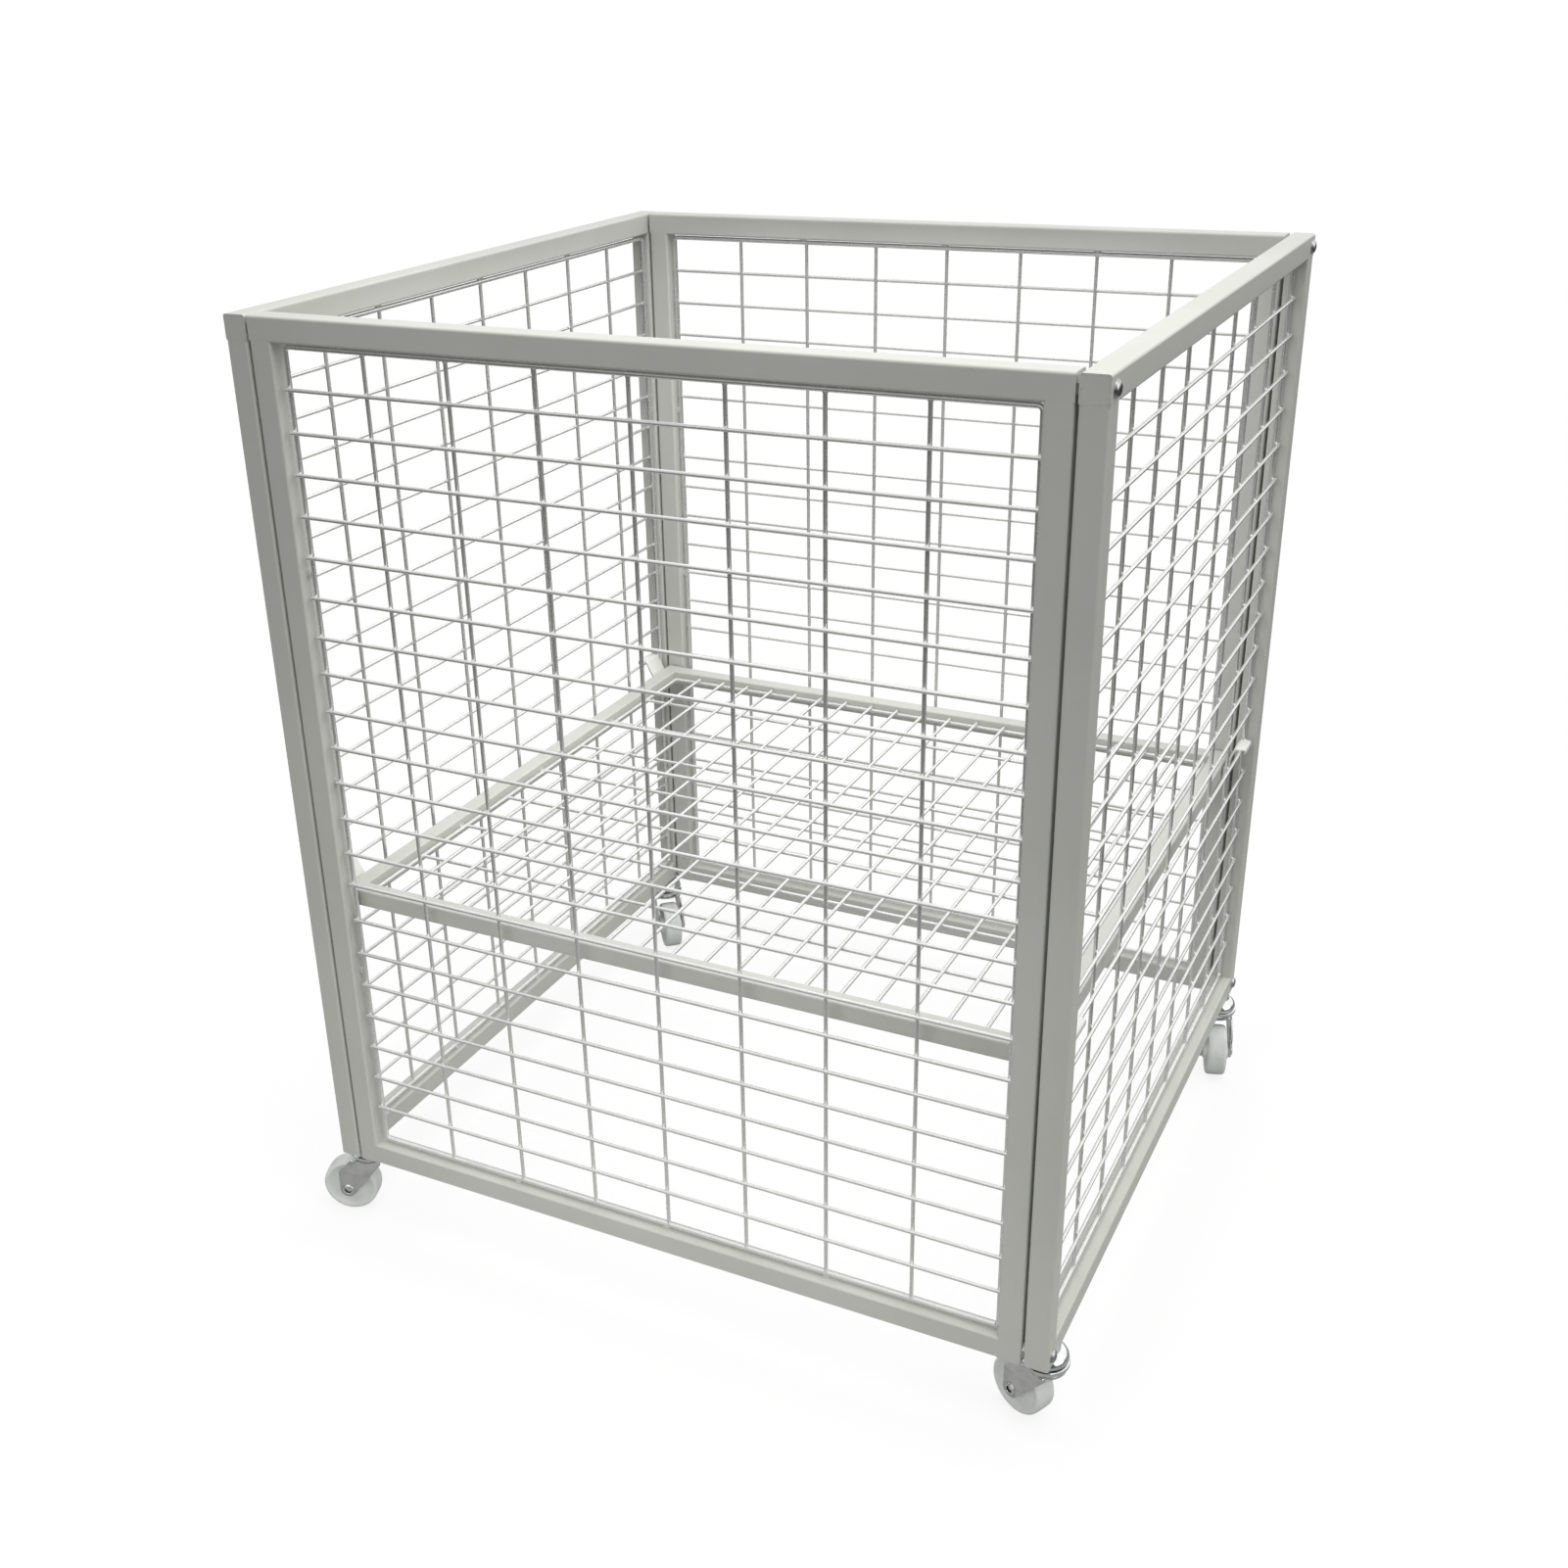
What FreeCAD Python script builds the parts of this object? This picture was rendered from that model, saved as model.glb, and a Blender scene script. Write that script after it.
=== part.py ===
import FreeCAD, Part
import Sketcher
import os
import re

# A retail dump bin: four panels of square steel tube, each filled with a welded
# wire mesh, bolted together at the corners, with a wire shelf hooked inside and
# four swivel casters underneath.
#
# Lengths are in millimetres, +Z is up and -Y is the front. The floor is z = 0.
# The origin lies at the middle of the whole outline, casters included, so the
# tube frame's centre is FrameShift to the right of it.
#
# Round outlines are drawn as a few flats round the true circle, except where
# something turns: the bores and shafts of the casters are true cylinders.

DIMENSIONS = {
    # the bin
    "Width": 650,
    "Depth": 610,
    "FrameHeight": 731,
    "FrameShift": 11,
    # square tube of the panels
    "Tube": 19,
    "TubeWall": 1.2,
    "TubeCorner": 2,
    "PanelGap": 2,
    # welded wire mesh
    "MeshWire": 3,
    "LoopWire": 4,
    "LoopInset": 3.5,
    "LoopBend": 3.5,
    "CrossWires": 21,
    "CrossPitch": 31.1,
    "UprightWires": 7,
    "UprightPitch": 70.2,
    "TabLength": 8,
    "TabThickness": 2,
    # shelf
    "ShelfWidth": 604,
    "ShelfDepth": 568,
    "ShelfTop": 262,
    "ShelfTube": 15,
    "ShelfWall": 1,
    "ShelfCorner": 1.5,
    "ShelfWires": 19,
    "ShelfPitch": 28.3,
    "ShelfCrossWires": 7,
    "ShelfCrossPitch": 66.2,
    "HookWireSteps": 3,
    "HookWidth": 25,
    "HookPlace": 265,
    "HookSteel": 2,
    # bolts between the panels
    "BoltRadius": 3,
    "BoltLength": 29,
    "BoltHoleRadius": 3.3,
    "HeadRadius": 5.5,
    "HeadHeight": 3,
    "WasherRadius": 8,
    "NutFlats": 10,
    "NutHeight": 5,
    # casters
    "CasterHeight": 73,
    "CasterInset": 27.5,
    "StemRadius": 4,
    "StemReach": 12,
    "StemNutFlats": 13,
    "StemNutHeight": 6.5,
    "CapRadius": 17.5,
    "CapHeight": 9.4,
    "CapCrown": 4,
    "CupRadius": 18.5,
    "CupTop": 9.8,
    "CupBottom": 15.4,
    "ForkTop": 16,
    "ForkSteel": 2,
    "ForkInside": 26,
    "ForkDisc": 16.5,
    "ForkFront": 11,
    "ForkEye": 7.5,
    "Trail": 21,
    "AxleDrop": 48,
    "AxleRadius": 3,
    "AxleHead": 5.5,
    "AxleHeadHeight": 1.5,
    "WheelRadius": 25,
    "WheelWidth": 18,
    "WheelChamfer": 1.5,
    "HubRadius": 9,
    "RunningClearance": 0.08,
    "SideClearance": 0.3,
    # headings of the casters at rest, anticlockwise from +X seen from above
    "HeadingFrontLeft": 199,
    "HeadingFrontRight": 154,
    "HeadingBackLeft": 310,
    "HeadingBackRight": 288,
}

# Numbers of flats: in a mesh wire, in a small round such as a hole or a head, in
# the disc of a fork, in a caster's cap and race, and in a wheel. ROUND marks a
# true cylinder.
WIRE_FLATS = 6
SMALL_FLATS = 8
DISC_FLATS = 12
RIM_FLATS = 16
WHEEL_FLATS = 24
ROUND = 0

doc = FreeCAD.newDocument("DumpBin")
sheet = doc.addObject("Spreadsheet::Sheet", "Dimensions")
for row, (alias, value) in enumerate(DIMENSIONS.items(), start=1):
    sheet.set("A%d" % row, alias)
    sheet.set("B%d" % row, str(value))
    sheet.setAlias("B%d" % row, alias)
doc.recompute()

ALIAS = re.compile(r"\b(%s)\b" % "|".join(DIMENSIONS))
X_AXIS = FreeCAD.Vector(1, 0, 0)
Y_AXIS = FreeCAD.Vector(0, 1, 0)
Z_AXIS = FreeCAD.Vector(0, 0, 1)

nodes = []


# Helpers ----------------------------------------------------------------------


def bind(item, expressions):
    """Binds properties to expressions written with the sheet's aliases."""
    for prop, text in expressions.items():
        item.setExpression(prop, ALIAS.sub(r"Dimensions.\1", str(text)))


def place(item, x, y, z, rotation=FreeCAD.Rotation()):
    """Turns an item and binds where it stands."""
    item.Placement = FreeCAD.Placement(FreeCAD.Vector(), rotation)
    bind(item, {"Placement.Base.x": x, "Placement.Base.y": y, "Placement.Base.z": z})


def add_node(item, name):
    item.Label = name
    nodes.append(item)
    return item


def new_body():
    return doc.addObject("PartDesign::Body", "Body")


def new_sketch(body, plane, offset=("0", "0", "0")):
    """Makes a sketch on one of the body's origin planes, moved along the plane's own axes."""
    sketch = body.newObject("Sketcher::SketchObject", "Sketch")
    support = [item for item in body.Origin.OriginFeatures if item.Role == plane][0]
    sketch.AttachmentSupport = [(support, "")]
    sketch.MapMode = "FlatFace"
    for axis, text in zip("xyz", offset):
        bind(sketch, {"AttachmentOffset.Base." + axis: text})
    return sketch


def constrain(sketch, kind, *where):
    """Adds a dimension of a sketch, whose last argument is its expression."""
    index = sketch.addConstraint(Sketcher.Constraint(kind, *where[:-1], 1.0))
    bind(sketch, {"Constraints[%d]" % index: where[-1]})


def relate(sketch, kind, *where):
    sketch.addConstraint(Sketcher.Constraint(kind, *where))


def value_of(text):
    """Works out an expression from the sheet's present numbers."""
    numbers = ALIAS.sub(lambda match: "(%r)" % float(sheet.get(match.group(1))), str(text))
    return float(FreeCAD.Units.Quantity(numbers).Value)


def draw_polygon(sketch, corners):
    """Draws a closed outline through corners given as pairs of expressions."""
    first, count = sketch.GeometryCount, len(corners)
    points = [FreeCAD.Vector(value_of(x), value_of(y), 0) for x, y in corners]
    for index, point in enumerate(points):
        sketch.addGeometry(Part.LineSegment(point, points[(index + 1) % count]))
    for index, (x, y) in enumerate(corners):
        relate(sketch, "Coincident", first + (index - 1) % count, 2, first + index, 1)
        fix_point(sketch, first + index, 1, x, y)


def fix_point(sketch, geometry, point, x, y):
    """Ties a point of a sketch to the sketch's origin by both its coordinates."""
    for kind, text, axis in (("DistanceX", x, -2), ("DistanceY", y, -1)):
        number = value_of(text)
        if abs(number) < 1e-9:
            relate(sketch, "PointOnObject", geometry, point, axis)
        elif number > 0:
            constrain(sketch, kind, -1, 1, geometry, point, text)
        else:
            constrain(sketch, kind, geometry, point, -1, 1, "-(%s)" % text)


def draw_round(sketch, flats, radius, x="0", y="0"):
    """Draws a true circle, or an outline of flats round that circle."""
    if flats == ROUND:
        centre = FreeCAD.Vector(value_of(x), value_of(y), 0)
        circle = sketch.addGeometry(Part.Circle(centre, Z_AXIS, value_of(radius)))
        constrain(sketch, "Radius", circle, radius)
        fix_point(sketch, circle, 3, x, y)
        return
    reach = "(%s) / cos(%r)" % (radius, 180.0 / flats)
    corners = []
    for index in range(flats):
        turn = (index + 0.5) * 360.0 / flats
        corners.append(("(%s) + %s * cos(%r)" % (x, reach, turn), "(%s) + %s * sin(%r)" % (y, reach, turn)))
    draw_polygon(sketch, corners)


def eased_rectangle(width, height, radius, flats):
    """Lists the corners of a centred rectangle whose round corners are a few flats each."""
    corners = []
    for quarter, (across, up) in enumerate([(1, 1), (-1, 1), (-1, -1), (1, -1)]):
        for step in range(flats + 1):
            turn = 90.0 * (quarter + step / flats)
            x = "%d * ((%s) / 2 - (%s)) + (%s) * cos(%r)" % (across, width, radius, radius, turn)
            y = "%d * ((%s) / 2 - (%s)) + (%s) * sin(%r)" % (up, height, radius, radius, turn)
            corners.append((x, y))
    return corners


def square(half):
    """Lists the corners of a centred square from half its side."""
    less = "-(%s)" % half
    return [(less, less), (half, less), (half, half), (less, half)]


def pad(body, sketch, length, both_sides=False):
    feature = body.newObject("PartDesign::Pad", "Pad")
    feature.Profile = sketch
    bind(feature, {"Length": length})
    if both_sides:
        feature.Midplane = True
    return feature


def cut(body, sketch, length=None, reverse=False, both_sides=False):
    """Cuts a sketch through the whole body, or to a length."""
    feature = body.newObject("PartDesign::Pocket", "Pocket")
    feature.Profile = sketch
    feature.Reversed = reverse
    if length is None:
        feature.Type = "ThroughAll"
    else:
        bind(feature, {"Length": length})
    if both_sides:
        feature.Midplane = True
    return feature


def group(name, items, x="0", y="0", z="0", rotation=FreeCAD.Rotation()):
    """Makes one node of several separate solids."""
    compound = doc.addObject("Part::Compound", "Group")
    compound.Links = items
    place(compound, x, y, z, rotation)
    return add_node(compound, name)


def chamfer(body, size, chosen):
    """Chamfers the edges of a body that a test picks out."""
    doc.recompute()
    base = body.Tip
    edges = ["Edge%d" % number for number, edge in enumerate(base.Shape.Edges, start=1) if chosen(edge)]
    feature = body.newObject("PartDesign::Chamfer", "Chamfer")
    feature.Base = (base, edges)
    bind(feature, {"Size": size})


def stacked_piece(steps, x, y, z, rotation=FreeCAD.Rotation()):
    """Stacks discs along the piece's own Z axis.

    Each step gives the outline and the bore, as pairs of flats and radius, and
    its bottom and top. A step without a bore has None there.
    """
    body = new_body()
    for outline, bore, bottom, top in steps:
        sketch = new_sketch(body, "XY_Plane", ("0", "0", bottom))
        draw_round(sketch, *outline)
        if bore:
            draw_round(sketch, *bore)
        pad(body, sketch, "(%s) - (%s)" % (top, bottom))
    place(body, x, y, z, rotation)
    return body


def nut(across_flats, height, bore, x, y, z, rotation=FreeCAD.Rotation()):
    """Makes a plain hexagon nut standing on its own Z axis."""
    return stacked_piece([((6, across_flats + " / 2"), (SMALL_FLATS, bore), "0", height)], x, y, z, rotation)


# Tube panels ------------------------------------------------------------------

# A panel is drawn in its own frame: X across it, Y inwards from its outer face,
# Z up from its lower edge. "turn" is the turn about Z that stands it on its side.
# first and last name the uprights at its own -X and +X ends.
END_WIDTH = "(Width - 2 * Tube - 2 * PanelGap)"
PANELS = [
    dict(name="front", turn=0, width=END_WIDTH, first="left_stile", last="right_stile", side=False),
    dict(name="back", turn=180, width=END_WIDTH, first="right_stile", last="left_stile", side=False),
    dict(name="right", turn=90, width="Depth", first="front_upright", last="back_upright", side=True),
    dict(name="left", turn=-90, width="Depth", first="back_upright", last="front_upright", side=True),
]
PANEL_ORIGIN = {
    "front": ("FrameShift", "-Depth / 2"),
    "back": ("FrameShift", "Depth / 2"),
    "right": ("FrameShift + Width / 2", "0"),
    "left": ("FrameShift - Width / 2", "0"),
}
BOLT_LEVELS = ["Tube / 2", "FrameHeight - Tube / 2"]


def tube_profile(sketch, size, wall, corner):
    """Draws a tube's section, with each round corner as two flats and a square bore."""
    draw_polygon(sketch, eased_rectangle(size, size, corner, 2))
    draw_polygon(sketch, square("(%s) / 2 - (%s)" % (size, wall)))


def upright_tube(x, length):
    """Makes a standing tube of the panels, its centre at x in its panel's frame."""
    body = new_body()
    sketch = new_sketch(body, "XY_Plane", (x, "Tube / 2", "0"))
    tube_profile(sketch, "Tube", "TubeWall", "TubeCorner")
    pad(body, sketch, length)
    return body


def level_tube(start, length, z):
    """Makes a lying tube of the panels, from start along X, its centre z up."""
    body = new_body()
    sketch = new_sketch(body, "YZ_Plane", ("Tube / 2", z, start))
    tube_profile(sketch, "Tube", "TubeWall", "TubeCorner")
    pad(body, sketch, length)
    return body


def drill_across(body, places, z):
    """Drills bolt holes through both walls of a tube, inwards from the panel's face."""
    sketch = new_sketch(body, "XZ_Plane")
    for x in places:
        draw_round(sketch, SMALL_FLATS, "BoltHoleRadius", x, z)
    cut(body, sketch)


def drill_end_wall(body, x, inwards):
    """Drills one bolt hole through a stile's outer wall, along the panel's width."""
    sketch = new_sketch(body, "YZ_Plane", ("0", "0", x))
    draw_round(sketch, SMALL_FLATS, "BoltHoleRadius", "Tube / 2", BOLT_LEVELS[0])
    cut(body, sketch, "Tube / 2", reverse=inwards > 0)


def drill_for_stems(body, places):
    """Drills the holes of two caster stems through a bottom rail's lower wall."""
    sketch = new_sketch(body, "XY_Plane")
    for x in places:
        draw_round(sketch, SMALL_FLATS, "StemRadius + 2 * RunningClearance", x, "Tube / 2")
    cut(body, sketch, "Tube / 2", reverse=True)


def make_panel_tubes(panel):
    """Makes the four tubes of a panel's frame."""
    half = "(%s) / 2" % panel["width"]
    centre = "(%s - Tube / 2)" % half
    stile_length = "FrameHeight - Tube"
    first = upright_tube("-" + centre, stile_length)
    last = upright_tube(centre, stile_length)
    top = level_tube("-(%s)" % half, panel["width"], "FrameHeight - Tube / 2")
    bottom = level_tube("Tube - (%s)" % half, "(%s) - 2 * Tube" % panel["width"], "Tube / 2")
    if panel["side"]:
        drill_across(first, ["-" + centre], BOLT_LEVELS[0])
        drill_across(last, [centre], BOLT_LEVELS[0])
        drill_across(top, ["-" + centre, centre], BOLT_LEVELS[1])
        stem = "(%s - CasterInset)" % half
        drill_for_stems(bottom, ["-" + stem, stem])
    else:
        drill_end_wall(first, "-(%s)" % half, inwards=1)
        drill_end_wall(last, half, inwards=-1)
    x, y = PANEL_ORIGIN[panel["name"]]
    names = [panel["first"], panel["last"], "top_rail", "bottom_rail"]
    for body, name in zip([first, last, top, bottom], names):
        place(body, x, y, "CasterHeight", FreeCAD.Rotation(Z_AXIS, panel["turn"]))
        add_node(body, panel["name"] + "_" + name)


def end_plate(panel, side):
    """Closes one end of a panel's top rail with a plate welded into its bore."""
    body = new_body()
    half = "(%s) / 2" % panel["width"]
    start = "(%s) - TubeWall" % half if side > 0 else "-(%s)" % half
    sketch = new_sketch(body, "YZ_Plane", ("Tube / 2", "FrameHeight - Tube / 2", start))
    draw_polygon(sketch, square("Tube / 2 - TubeWall"))
    if not panel["side"]:
        draw_round(sketch, SMALL_FLATS, "BoltHoleRadius")
    pad(body, sketch, "TubeWall")
    x, y = PANEL_ORIGIN[panel["name"]]
    place(body, x, y, "CasterHeight", FreeCAD.Rotation(Z_AXIS, panel["turn"]))
    return body


# Welded wire mesh -------------------------------------------------------------


def wire(length, x, y, z, along):
    """Makes one straight wire, centred on x, y, z, with two of its flats facing in and out."""
    prism = doc.addObject("Part::Prism", "Wire")
    prism.Polygon = WIRE_FLATS
    bind(prism, {"Circumradius": "MeshWire / 2 / cos(%r)" % (180.0 / WIRE_FLATS), "Height": length})
    if along == "X":
        place(prism, "(%s) - (%s) / 2" % (x, length), y, z, FreeCAD.Rotation(Y_AXIS, 90))
    else:
        place(prism, x, y, "(%s) - (%s) / 2" % (z, length))
    return prism


def loop_wire(width, height, depth):
    """Makes the thick wire that runs round a mesh, eight-sided and with tight bends cut straight."""
    ease = "LoopWire / 2 * (1 - tan(22.5))"
    body = new_body()
    ring = new_sketch(body, "XZ_Plane", ("0", "0", "-(%s)" % depth))
    for sign in "+-":
        size = ["(%s) %s LoopWire" % (length, sign) for length in (width, height)]
        draw_polygon(ring, eased_rectangle(*size, "LoopBend %s %s" % (sign, ease), 1))
    pad(body, ring, "LoopWire", both_sides=True)
    chamfer(body, ease, lambda edge: edge.BoundBox.YLength < 1e-6)
    return body


def weld_tab(x, y, z, size_x, size_z):
    """Makes a small plate between the loop and the tube round it."""
    box = doc.addObject("Part::Box", "Tab")
    bind(box, {"Length": size_x, "Width": "TabThickness", "Height": size_z})
    left, bottom = "(%s) - (%s) / 2" % (x, size_x), "(%s) - (%s) / 2" % (z, size_z)
    place(box, left, "(%s) - TabThickness / 2" % y, bottom)
    return box


def even_places(number, pitch):
    """Lists places about the middle, from the names of their number and their pitch."""
    count = DIMENSIONS[number]
    return ["%r * %s" % (index - (count - 1) / 2, pitch) for index in range(count)]


def make_mesh(name, width, height, tube, cross, upright, x, y, z, rotation):
    """Fills an opening with mesh: cross wires in front, upright wires in the loop's plane.

    The mesh is drawn about the opening's middle, with Y inwards from the frame's outer face.
    cross and upright each hold the names of the number of those wires and of their pitch.
    """
    loop_width = "((%s) - 2 * LoopInset)" % width
    loop_height = "((%s) - 2 * LoopInset)" % height
    loop_depth = "(%s) / 2" % tube
    cross_depth = "(%s) / 2 - LoopWire / 2 - MeshWire / 2" % tube
    upright_depth = "(%s) / 2 - LoopWire / 2 + MeshWire / 2" % tube
    pieces = [loop_wire(loop_width, loop_height, loop_depth)]
    for level in even_places(*cross):
        pieces.append(wire(width, "0", cross_depth, level, "X"))
    for across in even_places(*upright):
        pieces.append(wire("%s - LoopWire" % loop_height, across, upright_depth, "0", "Z"))
    gap = "(LoopInset - LoopWire / 2)"
    for quarter in (-0.25, 0, 0.25):
        for side in (-1, 1):
            up = "%d * ((%s) / 2 - %s / 2)" % (side, height, gap)
            out = "%d * ((%s) / 2 - %s / 2)" % (side, width, gap)
            pieces.append(weld_tab("%r * (%s)" % (quarter, width), loop_depth, up, "TabLength", gap))
            pieces.append(weld_tab(out, loop_depth, "%r * (%s)" % (quarter, height), gap, "TabLength"))
    group(name, pieces, x, y, z, rotation)


# Shelf ------------------------------------------------------------------------


def shelf_rail(name, start, length, across, along):
    """Makes one tube of the shelf's frame, from start along X or Y."""
    body = new_body()
    level = "CasterHeight + ShelfTop - ShelfTube / 2"
    if along == "X":
        sketch = new_sketch(body, "YZ_Plane", (across, level, start))
    else:
        sketch = new_sketch(body, "XZ_Plane", (across, level, "-((%s) + (%s))" % (start, length)))
    tube_profile(sketch, "ShelfTube", "ShelfWall", "ShelfCorner")
    pad(body, sketch, length)
    place(body, "FrameShift", "0", "0")
    add_node(body, name)


def make_shelf_frame():
    """Makes the shelf's four tubes: side rails of full depth, the others between them."""
    across = "(ShelfWidth / 2 - ShelfTube / 2)"
    along = "(ShelfDepth / 2 - ShelfTube / 2)"
    start, length = "ShelfTube - ShelfWidth / 2", "ShelfWidth - 2 * ShelfTube"
    shelf_rail("shelf_left_rail", "-ShelfDepth / 2", "ShelfDepth", "-" + across, "Y")
    shelf_rail("shelf_right_rail", "-ShelfDepth / 2", "ShelfDepth", across, "Y")
    shelf_rail("shelf_front_rail", start, length, "-" + along, "X")
    shelf_rail("shelf_back_rail", start, length, along, "X")


def shelf_hook(side, end):
    """Bends the strip that hangs a shelf corner on a cross wire of a side panel."""
    wire_top = "MeshWire / 2 / cos(%r)" % (180.0 / WIRE_FLATS)
    seat = "(FrameHeight / 2 - HookWireSteps * CrossPitch + %s - ShelfTop)" % wire_top
    ear = "((Width - ShelfWidth) / 2 - Tube / 2 + LoopWire / 2 + MeshWire / 2 + MeshWire)"
    lean = "(ShelfTube / 4)"
    profile = [
        ("0", "1 - ShelfTube"),
        ("HookSteel", "1 - ShelfTube"),
        ("HookSteel", "-" + lean),
        (ear + " / 2", seat),
        (ear + " - HookSteel / 2", seat),
        (ear + " - HookSteel / 2", seat + " - MeshWire"),
        (ear + " + HookSteel / 2", seat + " - MeshWire"),
        (ear + " + HookSteel / 2", seat + " + HookSteel"),
        (ear + " / 2 - HookSteel / 2", seat + " + HookSteel"),
        ("0", "-" + lean),
    ]
    body = new_body()
    sketch = new_sketch(body, "XZ_Plane", ("ShelfWidth / 2", "ShelfTop", "0"))
    draw_polygon(sketch, profile)
    pad(body, sketch, "HookWidth", both_sides=True)
    turn = FreeCAD.Rotation(Z_AXIS, 0 if side > 0 else 180)
    place(body, "FrameShift", "%d * HookPlace" % end, "CasterHeight", turn)
    return body


# Bolts between the panels -----------------------------------------------------


def bolt_places():
    """Lists the eight bolts: which side, which end, and how high."""
    for side in (-1, 1):
        for end in (-1, 1):
            for level in BOLT_LEVELS:
                x = "FrameShift + %d * (Width / 2 - %%s)" % side
                y = "%d * (Depth / 2 - Tube / 2)" % end
                turn = FreeCAD.Rotation(Y_AXIS, -90 * side)
                yield x, y, "CasterHeight + " + level, turn


def make_bolts():
    """Makes the bolts, the washers in the gap between two panels and the welded nuts."""
    bolt = [
        ((SMALL_FLATS, "HeadRadius"), None, "-HeadHeight", "0"),
        ((SMALL_FLATS, "BoltRadius"), None, "0", "BoltLength"),
    ]
    washer = [((SMALL_FLATS, "WasherRadius"), (SMALL_FLATS, "BoltHoleRadius"), "0", "PanelGap")]
    bolts, washers, nuts = [], [], []
    behind_wall = "(Tube + PanelGap + TubeWall)"
    for x, y, z, turn in bolt_places():
        bolts.append(stacked_piece(bolt, x % "0", y, z, turn))
        washers.append(stacked_piece(washer, x % "Tube", y, z, turn))
        nuts.append(nut("NutFlats", "NutHeight", "BoltRadius", x % behind_wall, y, z, turn))
    group("panel_bolts", bolts)
    group("panel_washers", washers)
    group("panel_nuts", nuts)


# Casters ----------------------------------------------------------------------

CASTERS = [
    ("front_left", -1, -1, "HeadingFrontLeft"),
    ("front_right", 1, -1, "HeadingFrontRight"),
    ("back_left", -1, 1, "HeadingBackLeft"),
    ("back_right", 1, 1, "HeadingBackRight"),
]


def caster_place(side, end):
    """Finds a caster's stem, where it meets the underside of a side panel's bottom rail."""
    x = "FrameShift + %d * (Width / 2 - Tube / 2)" % side
    y = "%d * (Depth / 2 - CasterInset)" % end
    return x, y, "CasterHeight"


def caster_cap(side, end):
    """Makes the pressed cap that closes the swivel from above, with a sloping edge."""
    outline = (RIM_FLATS, "CapRadius")
    steps = [
        (outline, (SMALL_FLATS, "StemRadius"), "-CapCrown", "0"),
        (outline, (RIM_FLATS, "CapRadius - TubeWall"), "-CapHeight", "-CapCrown"),
    ]
    body = stacked_piece(steps, *caster_place(side, end))
    edge_radius = value_of("CapRadius") * 0.9
    chamfer(
        body,
        "CapCrown - 0.5",
        lambda edge: abs(edge.BoundBox.ZMin) < 1e-6 and outermost(edge) > edge_radius,
    )
    return body


def caster_stem(side, end):
    """Makes the threaded stem, riveted over under the fork."""
    under_fork = "-(ForkTop + ForkSteel + SideClearance)"
    steps = [
        ((SMALL_FLATS, "StemRadius * 1.6"), None, under_fork + " - ForkSteel", under_fork),
        ((ROUND, "StemRadius"), None, under_fork, "StemReach"),
    ]
    return stacked_piece(steps, *caster_place(side, end))


def stem_nut(side, end):
    """Makes the nut that is welded inside the bottom rail for a caster's stem."""
    x, y, z = caster_place(side, end)
    return nut("StemNutFlats", "StemNutHeight", "StemRadius", x, y, z + " + TubeWall")


def caster_cup(name, place_of_stem, turn):
    """Makes the ring of the lower ball race, which swivels with the fork."""
    bore = (SMALL_FLATS, "StemRadius + 1")
    steps = [
        ((RIM_FLATS, "CupRadius"), bore, "-CupBottom", "-CupTop"),
        ((RIM_FLATS, "ForkDisc - 1"), bore, "-ForkTop", "-CupBottom"),
    ]
    add_node(stacked_piece(steps, *place_of_stem, turn), name + "_race_cup")


def fork_outline():
    """Lists the corners of a fork leg seen from the side, round its eye at the axle."""
    corners = [
        ("ForkFront + 2", "-ForkTop"),
        ("-ForkFront", "-ForkTop"),
        ("-ForkFront", "-ForkTop - 2 * ForkSteel"),
    ]
    for turn in (218, 274, 331, 387):
        corners.append(("Trail + ForkEye * cos(%d)" % turn, "ForkEye * sin(%d) - AxleDrop" % turn))
    return corners


def caster_fork(name, place_of_stem, turn):
    """Presses the fork: a disc under the race and two legs down to the axle."""
    body = new_body()
    outline = new_sketch(body, "XZ_Plane")
    draw_polygon(outline, fork_outline())
    pad(body, outline, "ForkInside + 2 * ForkSteel", both_sides=True)
    disc = new_sketch(body, "XY_Plane", ("0", "0", "-ForkTop - ForkSteel"))
    draw_round(disc, DISC_FLATS, "ForkDisc")
    pad(body, disc, "ForkSteel")
    room = new_sketch(body, "XZ_Plane")
    reach = "(Trail + WheelRadius)"
    floor = "(-AxleDrop - WheelRadius)"
    ceiling = "(-ForkTop - ForkSteel)"
    draw_polygon(room, [("-" + reach, floor), (reach, floor), (reach, ceiling), ("-" + reach, ceiling)])
    cut(body, room, "ForkInside", both_sides=True)
    bore = new_sketch(body, "XY_Plane")
    draw_round(bore, ROUND, "StemRadius + RunningClearance")
    cut(body, bore)
    eyes = new_sketch(body, "XZ_Plane")
    draw_round(eyes, SMALL_FLATS, "AxleRadius", "Trail", "-AxleDrop")
    cut(body, eyes, "2 * ForkInside", both_sides=True)
    place(body, *place_of_stem, turn)
    add_node(body, name + "_fork")


def at_axle(place_of_stem, heading):
    """Finds the middle of the axle behind a stem."""
    x, y, z = place_of_stem
    return (
        "%s + Trail * cos(%s)" % (x, heading),
        "%s + Trail * sin(%s)" % (y, heading),
        "%s - AxleDrop" % z,
    )


def caster_axle(name, middle, turn):
    """Makes the rivet that holds the wheel, with a flat head on each leg."""
    half = "(ForkInside / 2 + ForkSteel)"
    head = (SMALL_FLATS, "AxleHead")
    steps = [
        (head, None, "-%s - AxleHeadHeight" % half, "-" + half),
        ((ROUND, "AxleRadius"), None, "-" + half, half),
        (head, None, half, half + " + AxleHeadHeight"),
    ]
    add_node(stacked_piece(steps, *middle, turn), name + "_axle")


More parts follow.
